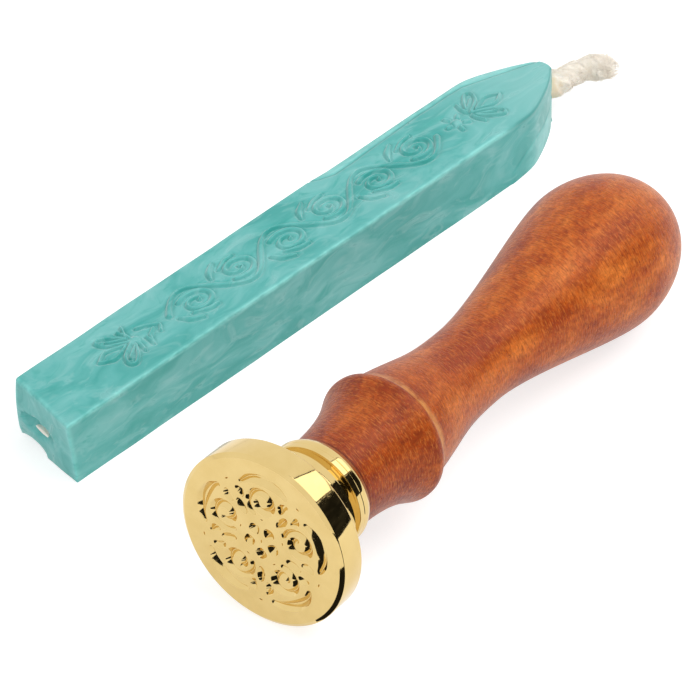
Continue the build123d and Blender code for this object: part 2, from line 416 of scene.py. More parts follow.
def sealing_wax():
    """Pearly turquoise wax: pale veils folded into a clear green body, paler edges that are partly wear and
    partly a painted highlight, and painted shade along the creases.
    """
    material, tree, shader = node_material("sealing_wax")
    place = piece_coordinates(tree, stick_frame)
    drift = add_node(tree, "ShaderNodeVectorMath", {"operation": "MULTIPLY_ADD"})
    slow = noise_at(stretched(place, (0.5, 1, 1)), 0.11, 2, output="Color")
    for socket, value in enumerate((slow, (16, 11, 11), place)):
        wire(drift, socket, value)
    folded = stretched(drift.outputs[0], (0.34, 1.0, 1.0))
    flow = noise_at(folded, 0.22, 3, 0.55, 0.6)
    veins = noise_at(folded, 0.54, 3, 0.55, 0.8)
    colour = ramp(
        flow, (0.34, (0.050, 0.375, 0.345)), (0.50, (0.095, 0.445, 0.418)), (0.68, (0.165, 0.515, 0.492)))
    # The flat top of the point is paler.
    at_tip = ramp(calculate("DIVIDE", part_of(place, "X"), 100.0), (0.80, 0.0), (0.95, 0.55))
    on_top = ramp(calculate("DIVIDE", part_of(place, "Z"), 10.0), (0.86, 0.0), (0.89, 1.0))
    crease = add_node(tree, "ShaderNodeAttribute", {"attribute_name": "crease_shade"}).outputs["Fac"]
    edge = add_node(tree, "ShaderNodeAttribute", {"attribute_name": "edge_wear_and_highlight"}).outputs["Fac"]
    wear_and_highlight_breaks = noise_at(stretched(place, (0.6, 1.5, 1.5)), 0.7, 3)
    wear_and_highlight_marks = ramp(wear_and_highlight_breaks, (0.36, 0.30), (0.62, 1.0))
    for where, tint in (
        (ramp(veins, (0.52, 0.0), (0.68, 0.42)), (0.29, 0.59, 0.575)),
        (ramp(veins, (0.30, 0.60), (0.42, 0.0)), (0.040, 0.385, 0.340)),
        (calculate("MULTIPLY", at_tip, on_top), (0.30, 0.62, 0.60)),
        # painted shade: darker lines along the creases
        (calculate("MULTIPLY", crease, 0.8), (0.035, 0.27, 0.25)),
        # paler edges: wear together with a painted highlight on them
        (calculate("MULTIPLY", edge, wear_and_highlight_marks), (0.27, 0.72, 0.68)),
    ):
        colour = blend(where, colour, tint)
    wire_all(
        shader, Base_Color=colour, Roughness=ramp(veins, (0.3, 0.36), (0.7, 0.27)),
        Specular_IOR_Level=0.42, Subsurface_Weight=0.15, Subsurface_Radius=(0.35, 1.0, 0.9),
        Subsurface_Scale=0.6 * MM, Normal=bump(noise_at(place, 3.0, 3, 0.5), 0.012),
    )
    return material


STAIN_END = 101.1  # how far along the stick wax has soaked the wick
HALFWAY = 50.0  # the stain leaves the end in the butt alone


def unbleached_cotton():
    """Unbleached cotton, stained a little by wax where it leaves the stick."""
    material, tree, shader = node_material("cotton")
    place = piece_coordinates(tree, stick_frame)
    station = part_of(place, "X")
    fibres = noise_at(stretched(place, (1.2, 6, 6)), 1.6, 4, 0.6, 0.6)
    colour = ramp(fibres, (0.28, (0.90, 0.81, 0.69)), (0.45, (0.96, 0.89, 0.78)), (0.65, (0.98, 0.93, 0.85)))
    wander = calculate("MULTIPLY", noise_at(place, 1.2, 2), 2.0)
    past_stain = calculate("SUBTRACT", calculate("SUBTRACT", station, wander), STAIN_END)
    stain = calculate("MULTIPLY", ramp(past_stain, (0.0, 0.5), (1.0, 0.0)),
                      calculate("GREATER_THAN", station, HALFWAY))
    wire_all(
        shader, Base_Color=blend(stain, colour, (0.86, 0.62, 0.32)),
        Roughness=ramp(fibres, (0.3, 0.95), (0.7, 0.8)), Sheen_Weight=0.25,
        Subsurface_Weight=0.15, Subsurface_Radius=(1.0, 0.8, 0.6), Subsurface_Scale=0.6 * MM,
        Normal=bump(fibres, 0.035),
    )
    return material


gold = gilt_brass()
steel = bare_steel()
wood = varnished_wood()
wax = sealing_wax()
cotton = unbleached_cotton()

# ---- the seal's brass head
RIM_RADIUS = 12.5
RIM_LENGTH = 4.1
FACE_CHAMFER = 0.56  # measured along the face; it runs 0.7 times as far along the rim
COVE_TOP = (RIM_LENGTH, 8.2)
COVE_WAIST = (7.2, 5.6)
COLLAR_RIDGE = (10.75, 7.35)
SOCKET_FLOOR, SOCKET_RADIUS = 11.6, 6.8
STUD_HOLE_FLOOR, STUD_HOLE_RADIUS = 3.1, 3.05


def head_outline():
    rim = rounded((
        (0, 0, 0),
        (0, RIM_RADIUS - FACE_CHAMFER, 0.07),
        (0.7 * FACE_CHAMFER, RIM_RADIUS, 0.16),
        (RIM_LENGTH, RIM_RADIUS, 0.30),
        (*COVE_TOP, 0),
    ))
    cove = bezier(COVE_TOP, (COVE_TOP[0] + 0.25, 6.7), (5.6, COVE_WAIST[1]), COVE_WAIST, 14)
    cove += bezier(COVE_WAIST, (9.3, COVE_WAIST[1]), (10.65, 6.35), COLLAR_RIDGE, 20)
    collar = rounded((
        (*COLLAR_RIDGE, 0),
        (10.85, 7.49, 0.05),
        (11.60, 7.50, 0),
        (11.66, 7.44, 0),
        (11.72, 7.51, 0),
        (12.45, 7.53, 1.40),
        (COLLAR_END, 7.02, 0.22),
        (COLLAR_END, SOCKET_RADIUS, 0),
        (SOCKET_FLOOR, SOCKET_RADIUS, 0),
        (SOCKET_FLOOR, STUD_HOLE_RADIUS, 0),
        (STUD_HOLE_FLOOR, STUD_HOLE_RADIUS, 0),
        (STUD_HOLE_FLOOR, 0, 0),
    ))
    return rim + cove + collar[1:]


seal_head = turn_on_lathe("engraved_head", head_outline())

# Each engraved stroke is cut as by a tapered milling bit: a flat floor, sloping walls and round ends.
WALL_SLOPE = math.tan(math.radians(41))
MOST_OF_V = 0.90  # a narrow stroke is a V that stops a little short of its point


def groove_section(half, depth):
    """Half of one section across a stroke: (sideways, out of the metal) points from the brim to the floor."""
    depth = min(depth, MOST_OF_V * half / WALL_SLOPE)
    floor = half - depth * WALL_SLOPE
    return (
        (half, 0.2), (half, 0.0), (half - 0.05, -0.035), (floor + 0.12 * depth, -0.80 * depth),
        (floor, -0.93 * depth), (floor * 0.7, -depth),
    )


def groove_cutter(points, depth):
    """A closed solid to cut one stroke with, drawn on the face: a swept section with rounded ends."""
    line = spread_line(points, 0.12)
    lengths = [0.0]
    for before, after in zip(line, line[1:]):
        lengths.append(lengths[-1] + math.dist(before[:2], after[:2]))
    mesh = bmesh.new()
    rings = []
    for index, (x, y, half) in enumerate(line):
        after = line[min(index + 1, len(line) - 1)]
        before = line[max(index - 1, 0)]
        ahead = Vector((after[0] - before[0], after[1] - before[1])).normalized()
        across = Vector((ahead.y, -ahead.x))
        from_end = min(lengths[index], lengths[-1] - lengths[index])
        near = max(0.0, 1 - from_end / half)
        side = groove_section(max(0.09, half * math.sqrt(max(0.02, 1 - near * near))), depth)
        ring = []
        for sideways, out in [(-x, y) for x, y in side] + list(reversed(side)):
            point = Vector((x, y)) + across * sideways
            ring.append(mesh.verts.new(seal_face_point(point.x, point.y, out)))
        rings.append(ring)
    join_rings(mesh, rings)
    return new_piece("cutter", mesh)


def seal_face_point(x, y, out):
    """A point on the engraved face, seen from in front: x to the right, y up, out of the metal."""
    return seal_frame @ Vector((-out * MM, y * MM, x * MM))


BOLDNESS = 1.36


def turned_point(radius, degrees):
    return radius * math.cos(math.radians(degrees)), radius * math.sin(math.radians(degrees))


def polar_stroke(stops):
    """A stroke from (radius, degrees, half width) stops about the face's centre."""
    return [(*turned_point(radius, degrees), BOLDNESS * half) for radius, degrees, half in stops]


def scroll_stroke(degrees):
    """A scroll that winds out of a small eye and runs on into a tail."""
    centre = Vector(turned_point(5.85, degrees))
    points = []
    for step in range(25):
        t = step / 24
        radius = 0.66 + 1.64 * t
        angle = math.radians(degrees + 60 + 455 * t)
        half = 0.40 + 0.24 * math.sin(math.pi * min(1.0, t * 1.1))
        points.append((centre.x + radius * math.cos(angle), centre.y + radius * math.sin(angle), half))
    return points


# One fifth of the emblem: (depth, stops), with the stops' degrees counted from the middle of the scroll.
PETAL = (0.72, ((1.05, 36, 0.34), (1.9, 36, 0.66), (2.7, 36, 0.50)))
SCROLL_DEPTH = 0.70
ROUND_THE_SCROLL = (
    (0.74, ((8.9, -25, 0.26), (9.35, -14, 0.50), (9.45, 0, 0.62), (9.25, 13, 0.46), (8.6, 24, 0.22))),
    (0.66, ((4.0, 36, 0.26), (5.1, 36, 0.46), (6.4, 36, 0.28))),
    (0.50, ((6.2, 45, 0.24), (7.2, 47, 0.44), (8.1, 43, 0.22))),
    (0.50, ((6.4, 28, 0.22), (7.3, 27, 0.40), (8.0, 31, 0.20))),
    (0.52, ((9.15, 36, 0.44), (9.35, 36, 0.44))),
    (0.44, ((3.3, 0, 0.36), (3.45, 0, 0.36))),
)


def emblem():
    """A generic rosette: a five-petalled flower in the middle of scrolls, leaves and beads."""
    strokes = [(polar_stroke(((0.1, 0, 0.36), (0.1, 180, 0.36))), 0.40)]
    for turn in range(5):
        degrees = 90 + 72 * turn
        fifth = [
            (polar_stroke([(radius, degrees + on, half) for radius, on, half in stops]), depth)
            for depth, stops in (PETAL, *ROUND_THE_SCROLL)
        ]
        strokes += [fifth[0], (scroll_stroke(degrees), SCROLL_DEPTH), *fifth[1:]]
    return strokes


def engrave(piece):
    pick(piece)
    for points, depth in emblem():
        cutter = groove_cutter(points, depth)
        modifier = piece.modifiers.new("engraving", "BOOLEAN")
        modifier.operation = "DIFFERENCE"
        modifier.solver = "MANIFOLD"
        modifier.object = cutter
        bpy.ops.object.modifier_apply(modifier=modifier.name)
        bpy.data.objects.remove(cutter)


engrave(seal_head)
smooth_below(seal_head, 28)
dress(seal_head, gold, "gilt_brass", "seal_head", "seal_head")

# ---- the threaded stud
STUD_RADIUS = 3.0
THREAD_PITCH = 1.0
THREAD_DEPTH = 0.5
STUD_START, STUD_END = 3.6, 25.63
STUD_POINT = 3.0
THREAD_STEPS = 36


def threaded_stud():
    """A V-shaped thread wound up as one helical skin, then closed by a cap at each end."""
    mesh = bmesh.new()
    rows = []
    turns = int((STUD_END - STUD_START) / THREAD_PITCH)
    for step in range(turns * THREAD_STEPS + 1):
        angle = 2 * math.pi * step / THREAD_STEPS
        base = STUD_START + THREAD_PITCH * step / THREAD_STEPS
        row = []
        for share, radius in ((0.0, 1.0), (0.12, 1.0), (0.5, 0.0), (0.62, 0.0)):
            station = min(base + share * THREAD_PITCH, STUD_END)
            pointed = max(0.12, min(1.0, (STUD_END - station) / STUD_POINT))
            eased = min(pointed, 0.8 + 0.2 * min(1.0, (station - STUD_START) / 1.2))
            reach = (STUD_RADIUS - THREAD_DEPTH * (1 - radius)) * eased
            point = Vector((station * MM, reach * MM * math.cos(angle), reach * MM * math.sin(angle)))
            row.append(mesh.verts.new(seal_frame @ point))
        rows.append(row)
    for row, following in zip(rows, rows[1:]):
        for i in range(3):
            mesh.faces.new((row[i], row[i + 1], following[i + 1], following[i]))
    for step in range(len(rows) - THREAD_STEPS - 1):
        low, low_next = rows[step][3], rows[step + 1][3]
        high, high_next = rows[step + THREAD_STEPS][0], rows[step + THREAD_STEPS + 1][0]
        mesh.faces.new((low, high, high_next, low_next))
    bmesh.ops.remove_doubles(mesh, verts=mesh.verts, dist=1e-7)
    bmesh.ops.holes_fill(mesh, edges=mesh.edges, sides=0)
    return new_piece("screw_stud", mesh)


stud = threaded_stud()
smooth_below(stud, 25)
dress(stud, steel, "steel", "stud", "threaded_stud")

# ---- the turned handle
FOOT = (11.63, 6.7)
HOLE_END = 26.13
COLLAR_EXIT = (COLLAR_END, 6.7)
SHOULDER = (25.9, 9.23)
CREASE = (CREASE_STATION, 8.33)
NECK = (45.4, 5.88)
BULB = (74.6, 10.62)
DOME_FULLNESS = (0.43, 0.69)


def handle_outline():
    outline = [
        (HOLE_END, 0), (HOLE_END - STUD_POINT, STUD_HOLE_RADIUS), (FOOT[0], STUD_HOLE_RADIUS),
        FOOT, COLLAR_EXIT,
    ]
    outline += stretch(COLLAR_EXIT, SHOULDER, 0, 0, (0.74, 0.08), 24)
    outline += stretch(SHOULDER, CREASE, 0, -0.80, (0.58, 0.55), 12)
    outline += stretch(CREASE, NECK, -0.16, 0, (0.50, 0.51), 20)
    outline += stretch(NECK, BULB, 0, 0, (0.28, 0.19), 32)
    dome = bezier(
        BULB,
        (BULB[0] + DOME_FULLNESS[0] * (HANDLE_END - BULB[0]), BULB[1]),
        (HANDLE_END, DOME_FULLNESS[1] * BULB[1]),
        (HANDLE_END, 0),
        28,
    )
    return outline + dome


handle = turn_on_lathe("turned_handle", handle_outline())
smooth_below(handle, 40)
dress(handle, wood, "varnished_wood", "handle", "handle")

# ---- the wax stick
SHOULDER_WIDTH = 12.6
BUTT_HEIGHT, TIP_HEIGHT = 10.1, 9.35
BUTT_SKEW, BUTT_LEAN = math.radians(13), math.radians(6.5)
EDGE_ROUND = 0.35
BOTTOM_SHARP = 0.25  # the bottom edges keep this share of the rounding
SIDE_BAND = 1.2  # the strip beside each long edge that keeps its true width
BUTT_BLEND = 12.0  # how far the slant of the butt reaches into the mesh
# Half the stick's width along its top, then the round of its nose.
HALF_WIDTHS = (
    (0, 6.02), (88, 6.30), (90, 6.27), (91, 6.19), (92, 5.98), (93, 5.65), (94, 5.25), (95, 4.83), (96, 4.38),
    (97, 3.90), (98, 3.38), (99, 2.80), (100, 2.15), (100.9, 1.40),
)
NOSE_X, NOSE_HALF = HALF_WIDTHS[-1]
NOSE_BULGE = 0.7
STICK_TIP = NOSE_X + NOSE_BULGE
LEFT_DRAFT = 0.06
# The right side stands out further at its foot, and so does the foot of the nose.
RIGHT_DRAFT = ((0, 0.12), (30, 0.25), (60, 0.35), (80, 0.46), (87, 0.48), (91, 0.16), (96, 0.05), (103, 0.05))
NOSE_LEAN = ((94, 0.0), (98, 0.1), (100, 0.2), (101.6, 0.42))


def between(table, x):
    """Read a table of (x, y) points at any x, in straight lines and held level beyond its ends."""
    if x <= table[0][0]:
        return table[0][1]
    for (x0, y0), (x1, y1) in zip(table, table[1:]):
        if x <= x1:
            return y0 + (y1 - y0) * (x - x0) / (x1 - x0)
    return table[-1][1]


def half_width(station):
    return between(HALF_WIDTHS, station)


def stick_height(station):
    return BUTT_HEIGHT - (BUTT_HEIGHT - TIP_HEIGHT) / SIDE_LENGTH * station


def across_at(side, half, sharp=1.0):
    """Move a point of the plain bar sideways to a section of another half width, edges kept round."""
    full = SHOULDER_WIDTH / 2
    band = SIDE_BAND * min(1.0, half / (2 * SIDE_BAND))
    inside = full - abs(side)
    if inside < SIDE_BAND:
        edge = ((0, 0), (EDGE_ROUND, EDGE_ROUND * sharp), (SIDE_BAND, SIDE_BAND))
        moved = half - between(edge, inside) * band / SIDE_BAND
    else:
        moved = abs(side) / (full - SIDE_BAND) * (half - band)
    return math.copysign(moved, side)


def upward_at(height, top):
    """Move a point of the plain bar up or down to a section of another height, edges kept round."""
    band = 1.5
    return between((
        (0, 0), (EDGE_ROUND, EDGE_ROUND * BOTTOM_SHARP), (band, band),
        (BUTT_HEIGHT - band, top - band), (BUTT_HEIGHT, top),
    ), height)


def cut_across(piece, direction, passes):
    """Rule the bar with lines square to a direction: each pass splits every edge along it into more."""
    for cuts in passes:
        mesh = opened_mesh(piece)
        for edge in mesh.edges:
            along = (edge.verts[1].co - edge.verts[0].co).normalized()
            if abs(along.dot(direction)) > 0.9999:
                edge.select = True
        mesh.select_flush(False)
        bmesh.update_edit_mesh(piece.data)
        bpy.ops.mesh.subdivide(number_cuts=cuts)


# The relief on the stick's top: strokes of (x, y, half width), seen from above, x towards the tip.
LILY_TIP_KNOT = (85.2, 0.1)
LILY_BUTT_KNOT = (17.2, 0.0)


def lily_strokes(knot, facing, petal_height):
    """The flower of a plain heraldic lily: a middle leaf and two petals that curl out, tied by a band."""
    outlines = []
    for side in (1, -1):
        outlines.append([(u, v * side, 0.24) for u, v in (
            (0.4, 1.0), (1.1, 1.9), (2.0, 2.8), (3.0, 3.45), (3.7, 3.3), (3.75, 2.6), (3.1, 1.6), (2.1, 0.95),
            (1.2, 0.5), (0.4, 0.1),
        )])
        outlines.append([(u, v * side, half) for u, v, half in (
            (0.3, 0.75, 0.14), (1.3, 1.35, 0.20), (2.3, 1.9, 0.20), (2.9, 2.3, 0.14),
        )])
        outlines.append([(u, v * side, 0.22) for u, v in (
            (1.3, 0.0), (2.4, 0.45), (3.6, 0.85), (4.6, 0.95), (5.4, 0.6), (6.4, 0.0),
        )])
        outlines.append([(0.0, 0.5 * side, 0.28), (-0.1, 1.3 * side, 0.26), (0.3, 2.6 * side, 0.20)])
    return [
        ([(knot[0] + facing * u, knot[1] + facing * v, half) for u, v, half in points], petal_height)
        for points in outlines
    ]


def tip_rosette_strokes():
    x, y = LILY_TIP_KNOT[0] - 2.8, LILY_TIP_KNOT[1]
    strokes = [([(x - 0.1, y, 0.75), (x + 0.1, y, 0.75)], 0.8)]
    for turn in range(5):
        angle = math.radians(180 + 72 * turn)
        out = (math.cos(angle), math.sin(angle))
        strokes.append(([(x + reach * out[0], y + reach * out[1], 0.34) for reach in (1.15, 1.75)], 0.8))
    return strokes


def butt_foot_strokes():
    """The boss and the broken foot of the lily near the butt, less crisp than the one at the tip."""
    lines = (
        ((17.1, -0.1, 0.80), (17.5, -0.1, 0.80)),
        ((19.3, 1.4, 0.24), (20.5, 0.9, 0.26), (21.3, 0.4, 0.26), (22.1, -0.2, 0.24), (21.3, -1.2, 0.22)),
        ((20.9, -0.2, 0.24), (19.5, -1.0, 0.26), (18.9, -2.1, 0.22)),
        ((19.0, -0.8, 0.22), (18.7, -2.4, 0.22)),
        ((18.1, 3.0, 0.22), (17.1, 1.3, 0.24)),
    )
    return [(list(points), 0.9) for points in lines]


VINE_START, VINE_END = 24.2, 78.2
VINE_HUMPS = 6


def vine_strokes():
    """A running scroll: a wavy stem with a volute in each hump, and leaves and berries outside it."""
    hump = (VINE_END - VINE_START) / VINE_HUMPS
    stem = []
    for step in range(VINE_HUMPS * 12 + 1):
        x = VINE_START + hump * step / 12
        stem.append((x, 2.75 * math.sin(math.pi * step / 12), 0.34 + 0.10 * math.cos(math.pi * step / 6)))
    strokes = [(stem, 1.0)]
    for index in range(VINE_HUMPS):
        side = 1 if index % 2 == 0 else -1
        left = VINE_START + hump * index
        centre = left + hump * 0.54
        curl = []
        for step in range(25):
            t = step / 24
            angle = math.pi * (1.0 - 0.28) - 2.75 * math.pi * t
            radius = 3.0 * (1 - t) ** 0.75 + 0.42
            curl.append((
                centre + radius * math.cos(angle) * 0.92,
                side * (-0.55 + radius * math.sin(angle) * 0.62),
                0.22 + 0.18 * math.sin(math.pi * min(1.0, t + 0.25)),
            ))
        strokes.append((curl, 0.9))
        for height, leaf in (
            (0.9, ((0.06, -1.3, 0.2), (0.16, -2.5, 0.42), (0.34, -3.55, 0.24))),
            (0.8, ((0.30, -1.95, 0.2), (0.52, -2.75, 0.36), (0.72, -2.95, 0.2))),
        ):
            strokes.append(([(left + hump * share, side * out, half) for share, out, half in leaf], height))
    return strokes


def relief_points():
    """Closely stepped points on all the relief's strokes, with each one's half width and height."""
    points = []
    strokes = lily_strokes(LILY_TIP_KNOT, 1, 1.0) + tip_rosette_strokes()
    strokes += lily_strokes(LILY_BUTT_KNOT, -1, 0.9) + butt_foot_strokes() + vine_strokes()
    for stroke, height in strokes:
        for x, y, half in spread_line(stroke, 0.09):
            points.append((x, y, max(0.12, half), height))
    return points


relief = relief_points()
relief_tree = kdtree.KDTree(len(relief))
for number, (x, y, half, height) in enumerate(relief):
    relief_tree.insert((x, y, 0), number)
relief_tree.balance()

STROKE_RISE = 0.34
GROOVE_SINK = 0.18
GROOVE_REACH = 0.20
# The left top edge is sloped off outside this line.
WORN_LINE = (
    (58.6, 6.2), (60, 5.4), (62.4, 4.6), (66, 4.65), (71, 4.95), (76.5, 5.13), (79.8, 5.21), (83, 5.18),
    (86.3, 5.26), (89.4, 5.1), (91.7, 4.35), (94.1, 3.6), (96.4, 2.77), (98.8, 1.97), (100.6, 1.29),
)
# The mould's parting line on the right of the point, as (station, height).
PARTING_LINE = (
    (86.5, 1.9), (88.3, 2.9), (89.7, 3.7), (91.7, 4.5), (93.6, 4.4), (96, 4.3), (97.9, 4.5), (102, 4.4),
)
OFF_THE_LINE = -9.0  # what the two functions below say beyond the ends of their lines


def beyond_worn_line(x, y):
    """How far outside the worn edge's line a point of the top lies."""
    return y - between(WORN_LINE, x) if WORN_LINE[0][0] <= x <= STICK_TIP else OFF_THE_LINE


def below_parting_line(x, z):
    return between(PARTING_LINE, x) - z if x >= PARTING_LINE[0][0] else OFF_THE_LINE


def top_relief(x, y):
    """How far the stick's top stands above or below its plane."""
    rise = 0.0
    _, _, distance = relief_tree.find((x, y, 0))
    if distance < 2.0:
        best = 0.0
        for _, number, away in relief_tree.find_range((x, y, 0), 1.3):
            _, _, half, height = relief[number]
            if away < half:
                best = max(best, height * (1 - (away / half) ** 2))
        _, number, away = relief_tree.find((x, y, 0))
        half = relief[number][2]
        groove = math.exp(-(((away - half - 0.10) / GROOVE_REACH) ** 2))
        rise = STROKE_RISE * best - GROOVE_SINK * groove * (1 if best == 0 else 0.4)
    beyond = beyond_worn_line(x, y)
    rise -= 0.16 * math.exp(-((beyond / 0.20) ** 2))
    if beyond > 0:
        rise -= 0.17 * beyond * min(1.0, beyond / 0.6)
    return rise


# Pits and dents, as (x, y, radius, depth) on the top and (x, z, radius, depth) on the right side.
TOP_PITS = ((1.3, 4.9, 0.35, 0.25), (8.0, -4.2, 0.5, 0.10), (41.0, 5.1, 0.3, 0.1), (83.6, -4.9, 0.25, 0.12))
SIDE_PITS = ((10.7, 6.6, 0.32, 0.30), (12.6, 1.7, 0.6, 0.10), (49.5, 2.2, 0.4, 0.10), (72.0, 7.6, 0.3, 0.12))


def pit_depth(u, v, pits):
    return sum(depth * math.exp(-(((u - pu) ** 2 + (v - pv) ** 2) / (radius * radius)))
               for pu, pv, radius, depth in pits)


# The butt: a pocket round the wick's end, deepest along its top, and an arch chipped out of the foot.
POCKET_CENTRE = (1.6, 4.65)
POCKET_HALF = (3.3, 1.4)
POCKET_DEPTH = 2.3
NOTCH_CENTRE, NOTCH_HALF, NOTCH_RISE, NOTCH_REACH = 3.35, 3.1, 1.5, 5.0


def pocket_depth(y, z):
    across = (y - POCKET_CENTRE[0]) / POCKET_HALF[0]
    upward = (z - POCKET_CENTRE[1]) / POCKET_HALF[1]
    inside = max(1e-6, 1 - across * across)
    upward /= math.sqrt(inside)
    rise = clamp((upward + 1) / 1.65)
    fall = clamp((1 - upward) / 0.35)
    return POCKET_DEPTH * math.sqrt(inside) * rise**1.15 * fall


def butt_sag(y, z, top):
    """The butt isn't quite flat: its left edge bulges out below, and its right edge above."""
    left = clamp((y + 6) / 12)
    height = min(1.0, z / top)
    bulge = 0.50 * (1 - height**2) + 0.35 * math.sin(math.pi * height)
    return -left * bulge - 0.4 * (1 - left) * height**2


def waviness(x, y, z, reach, size):
    return size * noise.noise(Vector((x, y, z)) / reach)


def fade(distance, reach):
    """1 inside the distance, falling to 0 over the reach beyond it."""
    return clamp(1 - distance / reach)


SKIN = 0.12  # points of the plain bar this near to its butt or right side belong to it
TOP_SKIN = 0.02


def on_right_side(y):
    return y < -SHOULDER_WIDTH / 2 + SKIN


def shape_wax(co):
    """Turn a point of the plain bar into its place on the stick, with how much pale edge it takes, partly wear
    and partly painted highlight, and how much painted shade its crease takes.
    """
    x, y, z = (co - stick_origin) / MM
    on_butt = x < SKIN
    sharp = BOTTOM_SHARP if z < EDGE_ROUND else 1.0
    end_y = across_at(y, NOSE_HALF)
    end_x = NOSE_X + NOSE_BULGE * math.sqrt(max(0.0, 1 - (end_y / NOSE_HALF) ** 2))
    station = x / STICK_TIP * end_x
    near_butt = max(0.0, 1 - station / BUTT_BLEND)
    side = across_at(y, half_width(station), sharp)
    station += near_butt * (side * math.tan(BUTT_SKEW) + (BUTT_HEIGHT - z) * math.tan(BUTT_LEAN)
                            + butt_sag(side, z, BUTT_HEIGHT))
    side = across_at(y, half_width(station), sharp)
    top = stick_height(station)
    up = upward_at(z, top)
    half = half_width(station)
    low = 1 - up / top
    station += between(NOSE_LEAN, station) * low * (1 - 0.35 * low)
    if side > 0:
        side += LEFT_DRAFT * low * min(1.0, side / 2)
    else:
        side -= between(RIGHT_DRAFT, station) * low * min(1.0, -side / half)
    # Pale, partly worn and partly a painted highlight: the worn edge, the right top edge and the butt's edges.
    # Painted shade: the darker lines in the creases beside them.
    on_edge = (z > BUTT_HEIGHT - 0.4) * (side < 0)
    in_from_right = half + side
    past_arch = fade(88 - station, 4.0)
    edge_wear_and_highlight = fade(in_from_right - 0.15, 0.30) * on_edge * (1 - past_arch)
    crease_shade = fade(abs(in_from_right - 0.12), 0.26) * on_edge * past_arch
    near_edge = min(half - abs(side), top - up)
    edge_wear_and_highlight = max(edge_wear_and_highlight, 0.5 * (fade(near_edge - 0.30, 0.45) if on_butt else fade(x - 0.2, 0.6)))
    if z > BUTT_HEIGHT - TOP_SKIN:
        beyond = beyond_worn_line(station, side)
        edge_wear_and_highlight = max(edge_wear_and_highlight, 0.75 * fade(0.35 - beyond, 0.25))
        crease_shade = max(crease_shade, 0.8 * fade(abs(beyond + 0.02), 0.24))
    if z > BUTT_HEIGHT - EDGE_ROUND - 0.01:
        up += top_relief(station, side) - pit_depth(station, side, TOP_PITS)
        up += waviness(station, side, 0, 9.0, 0.10)
    if on_right_side(y):
        # The parting line gets painted shade in its crease, and the band below it a pale mark that is partly
        # painted highlight.
        below = below_parting_line(station, up)
        crease_shade = max(crease_shade, fade(abs(below), 0.26) * fade(89 - station, 2.5))
        edge_wear_and_highlight = max(edge_wear_and_highlight, 0.35 * fade(-below, 0.3) * fade(91 - station, 3.0))
        side += 0.07 * math.exp(-((below / 0.18) ** 2)) - 0.08 * fade(-below, 0.3)
        side += pit_depth(station, up, SIDE_PITS) + waviness(station, 5, up, 8.0, 0.08)
    if on_butt:
        station += pocket_depth(side, up) + waviness(3, side, up, 4.0, 0.10)
    # The butt's left lower corner is knocked off, and its lower edge is chipped into an arch.
    if side > 0:
        side -= 0.5 * fade(station, 5.0) ** 2 * fade(up, 2.0) ** 2 * side / 6
    if up < 1.8:
        arch = max(0.0, 1 - ((side - NOTCH_CENTRE) / NOTCH_HALF) ** 2) ** 0.5
        up += NOTCH_RISE * arch * fade(station - 0.6, NOTCH_REACH) * fade(up - 0.1, 1.7)
    return stick_origin + Vector((station, side, up)) * MM, edge_wear_and_highlight, crease_shade


def cast_stick():
    """A bar with rounded edges, ruled closely, bent to the stick's outline and pressed with the relief."""
    bar = Vector((STICK_TIP, SHOULDER_WIDTH, BUTT_HEIGHT)) * MM
    middle = stick_origin + Vector((bar.x / 2, 0, bar.z / 2))
    bpy.ops.mesh.primitive_cube_add(size=1, location=middle, scale=bar)
    piece = start_editing("cast_stick")
    bpy.ops.mesh.select_all(action="SELECT")
    bpy.ops.mesh.bevel(offset=EDGE_ROUND * MM, segments=4, affect="EDGES")
    bpy.ops.mesh.select_mode(type="EDGE")
    cut_across(piece, Vector((1, 0, 0)), (15, 15))
    cut_across(piece, Vector((0, 1, 0)), (5, 4))
    cut_across(piece, Vector((0, 0, 1)), (4, 4))
    bpy.ops.mesh.select_mode(type="VERT")

    def near_relief(co):
        x, y, z = (co - stick_origin) / MM
        if z < BUTT_HEIGHT - TOP_SKIN:
            on_flank = on_right_side(y) and abs(below_parting_line(x, z)) < 0.7
            return on_flank or (x < SKIN and (pocket_depth(y, z) > 0 or z < 2.5))
        flat = across_at(y, half_width(x))
        return abs(beyond_worn_line(x, flat)) < 0.75 or relief_tree.find((x, flat, 0))[2] < 0.85

    mesh = opened_mesh(piece)
    for vertex in mesh.verts:
        vertex.select = near_relief(vertex.co)
    mesh.select_flush(True)
    bmesh.update_edit_mesh(piece.data)
    bpy.ops.mesh.subdivide(number_cuts=3)
    bpy.ops.object.mode_set(mode="OBJECT")
    # Per point: the pale edge mark, wear with a painted highlight, and the painted shade in the creases.
    wear_and_highlight_marks = piece.data.attributes.new("edge_wear_and_highlight", "FLOAT", "POINT").data
    crease_shades = piece.data.attributes.new("crease_shade", "FLOAT", "POINT").data
    for vertex in piece.data.vertices:
        vertex.co, wear_and_highlight_marks[vertex.index].value, crease_shades[vertex.index].value = shape_wax(vertex.co)
    piece.data.update()
    smooth_below(piece, 60)
    return piece


wax_stick = cast_stick()
dress(wax_stick, wax, "sealing_wax", "wax", "wax_stick")

